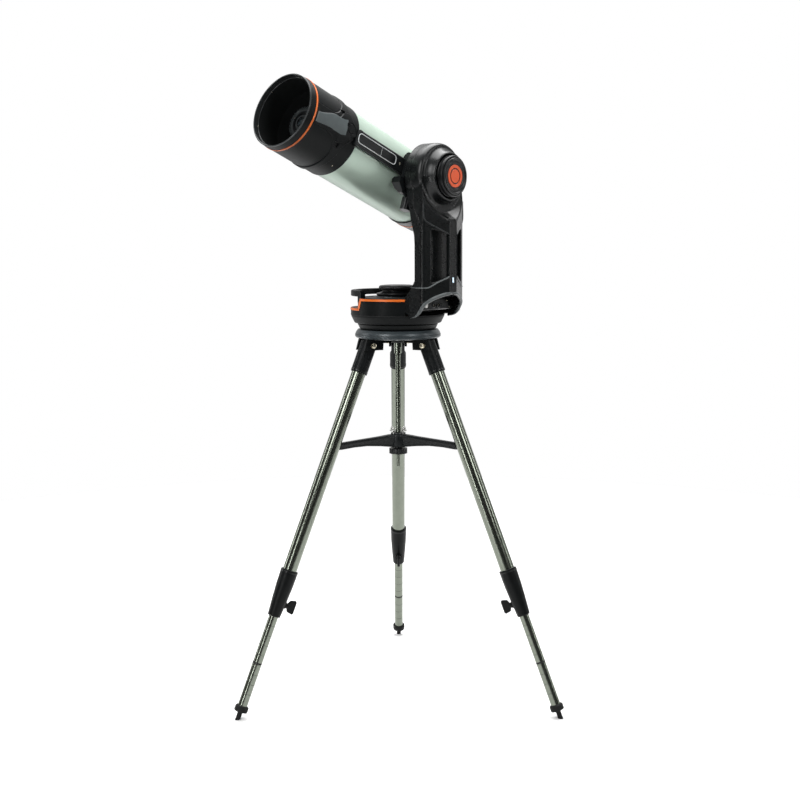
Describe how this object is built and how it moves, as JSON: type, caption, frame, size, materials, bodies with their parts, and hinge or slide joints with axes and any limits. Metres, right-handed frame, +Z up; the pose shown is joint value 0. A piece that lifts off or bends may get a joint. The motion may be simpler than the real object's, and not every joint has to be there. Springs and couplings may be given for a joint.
{
  "type": "schmidt cassegrain telescope",
  "caption": "Short silver telescope tube with a dew shield on a motorised single-arm altazimuth mount and a folding steel tripod.",
  "frame": {"origin": "on the floor, on the azimuth axis, midway between the feet", "axes": "+Z up along the azimuth axis; -Y towards the front, where two of the legs spread to each side; the tube points to the front left"},
  "size_m": [0.8686, 0.858, 1.6575],
  "materials": {
    "black_plastic": "satin moulded, fine texture",
    "black_rubber": "matte",
    "knob_plastic": "satin",
    "tube_silver": "satin metallic with a pale green tint",
    "dark_metal": "satin black",
    "head_grey": "satin grey-blue",
    "stainless": "polished stainless steel",
    "steel": "brushed",
    "orange_trim": "satin orange",
    "glass": "coated optical glass",
    "mirror": "polished",
    "brass": "machined",
    "light": "frosted",
    "board_green": "circuit board",
    "battery_blue": "shrink wrap"
  },
  "bodies": {
    "tripod": {"tripod_head": "head_grey", "bubble_level": "glass", "hinge_bolts": "steel", "mount_bolts": "steel", "center_rod": "stainless", "base_drum": "black_plastic", "azimuth_gear": "brass", "azimuth_bearing": "steel"},
    "mount": {"turntable_shell": "black_plastic", "base_trim": "orange_trim", "azimuth_motor": "dark_metal", "arm_inner_shell": "black_plastic", "arm_outer_shell": "black_plastic", "arm_light": "light", "arm_screws": "steel", "port_panel": "black_plastic", "altitude_bearings": "steel", "altitude_motor": "dark_metal", "battery_pack": "battery_blue", "control_board": "board_green"},
    "azimuth_knob": {"azimuth_clutch_knob": "knob_plastic"},
    "altitude_knob": {"altitude_clutch_knob": "knob_plastic"},
    "button": {"power_button": "steel"},
    "tube": {"altitude_shaft": "steel", "altitude_gear": "brass", "saddle": "dark_metal", "dovetail_bar": "dark_metal", "main_tube": "tube_silver", "front_cell": "black_plastic", "corrector_plate": "glass", "camera_module": "black_plastic", "dew_shield": "black_plastic", "trim_rings": "orange_trim", "rear_cell": "black_plastic", "rear_cover": "black_plastic", "primary_mirror": "mirror"},
    "jaw": {"saddle_jaw": "dark_metal"},
    "clamp_knob": {"saddle_knob": "knob_plastic"},
    "fan": {"fan_rotor": "black_plastic"},
    "washer": {"spreader_washer": "steel"},
    "spreader": {"spreader": "dark_metal"},
    "spreader_knob": {"spreader_knob": "knob_plastic"},
    "leg_1": {"leg_socket_1": "black_plastic", "upper_leg_1": "stainless", "leg_clamp_1": "black_plastic"},
    "lower_leg_1": {"lower_leg_1": "stainless", "foot_1": "black_rubber"},
    "lock_knob_1": {"lock_knob_1": "knob_plastic"},
    "leg_2": {"leg_socket_2": "black_plastic", "upper_leg_2": "stainless", "leg_clamp_2": "black_plastic"},
    "lower_leg_2": {"lower_leg_2": "stainless", "foot_2": "black_rubber"},
    "lock_knob_2": {"lock_knob_2": "knob_plastic"},
    "leg_3": {"leg_socket_3": "black_plastic", "upper_leg_3": "stainless", "leg_clamp_3": "black_plastic"},
    "lower_leg_3": {"lower_leg_3": "stainless", "foot_3": "black_rubber"},
    "lock_knob_3": {"lock_knob_3": "knob_plastic"}
  },
  "joints": [
    {"name": "azimuth_turn", "type": "hinge", "parent": "tripod", "child": "mount", "pos_m": [0, 0, 1.06], "axis": [0, 0, 1], "continuous": true},
    {"name": "altitude_tilt", "type": "hinge", "parent": "mount", "child": "tube", "pos_m": [0, 0, 1.414], "axis": [-0.7501, 0.6613, 0], "range_deg": [-25.8, 69.2]},
    {"name": "azimuth_clutch_turn", "type": "hinge", "parent": "mount", "child": "azimuth_knob", "pos_m": [0, 0, 1.115], "axis": [0, 0, 1], "range_deg": [0, 120]},
    {"name": "altitude_clutch_turn", "type": "hinge", "parent": "mount", "child": "altitude_knob", "pos_m": [0.14252, -0.12565, 1.414], "axis": [0.7501, -0.6613, 0], "range_deg": [0, 120]},
    {"name": "power_press", "type": "slide", "parent": "mount", "child": "button", "axis": [-0.7501, 0.6613, 0], "range_m": [0, 0.002], "stiffness_N_per_m": 800},
    {"name": "saddle_knob_turn", "type": "hinge", "parent": "tube", "child": "clamp_knob", "pos_m": [0.02345, -0.0983, 1.34519], "axis": [-0.2348, -0.2664, -0.9348], "range_deg": [0, 400]},
    {"name": "saddle_jaw_open", "type": "slide", "parent": "tube", "child": "jaw", "axis": [-0.2348, -0.2664, -0.9348], "range_m": [0, 0.003]},
    {"name": "fan_spin", "type": "hinge", "parent": "tube", "child": "fan", "pos_m": [0.08127, 0.12152, 1.35896], "axis": [-0.6182, -0.7012, 0.3551], "continuous": true},
    {"name": "spreader_drop", "type": "slide", "parent": "tripod", "child": "washer", "axis": [0, 0, -1], "range_m": [0, 0.3]},
    {"name": "spreader_turn", "type": "hinge", "parent": "washer", "child": "spreader", "pos_m": [0, 0, 0.7], "axis": [0, 0, 1], "range_deg": [0, 60]},
    {"name": "spreader_knob_turn", "type": "hinge", "parent": "washer", "child": "spreader_knob", "pos_m": [0, 0, 0.676], "axis": [0, 0, 1], "range_deg": [0, 720]},
    {"name": "leg_fold_1", "type": "hinge", "parent": "tripod", "child": "leg_1", "pos_m": [-0.07949, -0.04589, 0.97], "axis": [0.5, -0.866, 0], "range_deg": [0, 20]},
    {"name": "leg_extend_1", "type": "slide", "parent": "leg_1", "child": "lower_leg_1", "axis": [-0.3296, -0.1903, -0.9247], "range_m": [-0.235, 0.2]},
    {"name": "lock_knob_turn_1", "type": "hinge", "parent": "leg_1", "child": "lock_knob_1", "pos_m": [-0.29572, -0.17073, 0.2845], "axis": [0.8009, 0.4624, -0.3806], "range_deg": [0, 360]},
    {"name": "leg_fold_2", "type": "hinge", "parent": "tripod", "child": "leg_2", "pos_m": [0.07949, -0.04589, 0.97], "axis": [0.5, 0.866, 0], "range_deg": [0, 20]},
    {"name": "leg_extend_2", "type": "slide", "parent": "leg_2", "child": "lower_leg_2", "axis": [0.3296, -0.1903, -0.9247], "range_m": [-0.235, 0.2]},
    {"name": "lock_knob_turn_2", "type": "hinge", "parent": "leg_2", "child": "lock_knob_2", "pos_m": [0.29572, -0.17073, 0.2845], "axis": [-0.8009, 0.4624, -0.3806], "range_deg": [0, 360]},
    {"name": "leg_fold_3", "type": "hinge", "parent": "tripod", "child": "leg_3", "pos_m": [0, 0.09179, 0.97], "axis": [-1, 0, 0], "range_deg": [0, 20]},
    {"name": "leg_extend_3", "type": "slide", "parent": "leg_3", "child": "lower_leg_3", "axis": [0, 0.3806, -0.9247], "range_m": [-0.235, 0.2]},
    {"name": "lock_knob_turn_3", "type": "hinge", "parent": "leg_3", "child": "lock_knob_3", "pos_m": [0, 0.34147, 0.2845], "axis": [0, -0.9247, -0.3806], "range_deg": [0, 360]}
  ],
  "couplings": [
    {"joint": "saddle_jaw_open", "follows": "saddle_knob_turn", "m_per_rad": 0.00040319},
    {"joint": "spreader_turn", "follows": "spreader_drop", "rad_per_m": 3.4906},
    {"joint": "leg_fold_1", "follows": "spreader_drop", "rad_per_m": 1.1635},
    {"joint": "leg_fold_2", "follows": "spreader_drop", "rad_per_m": 1.1635},
    {"joint": "leg_fold_3", "follows": "spreader_drop", "rad_per_m": 1.1635}
  ]
}
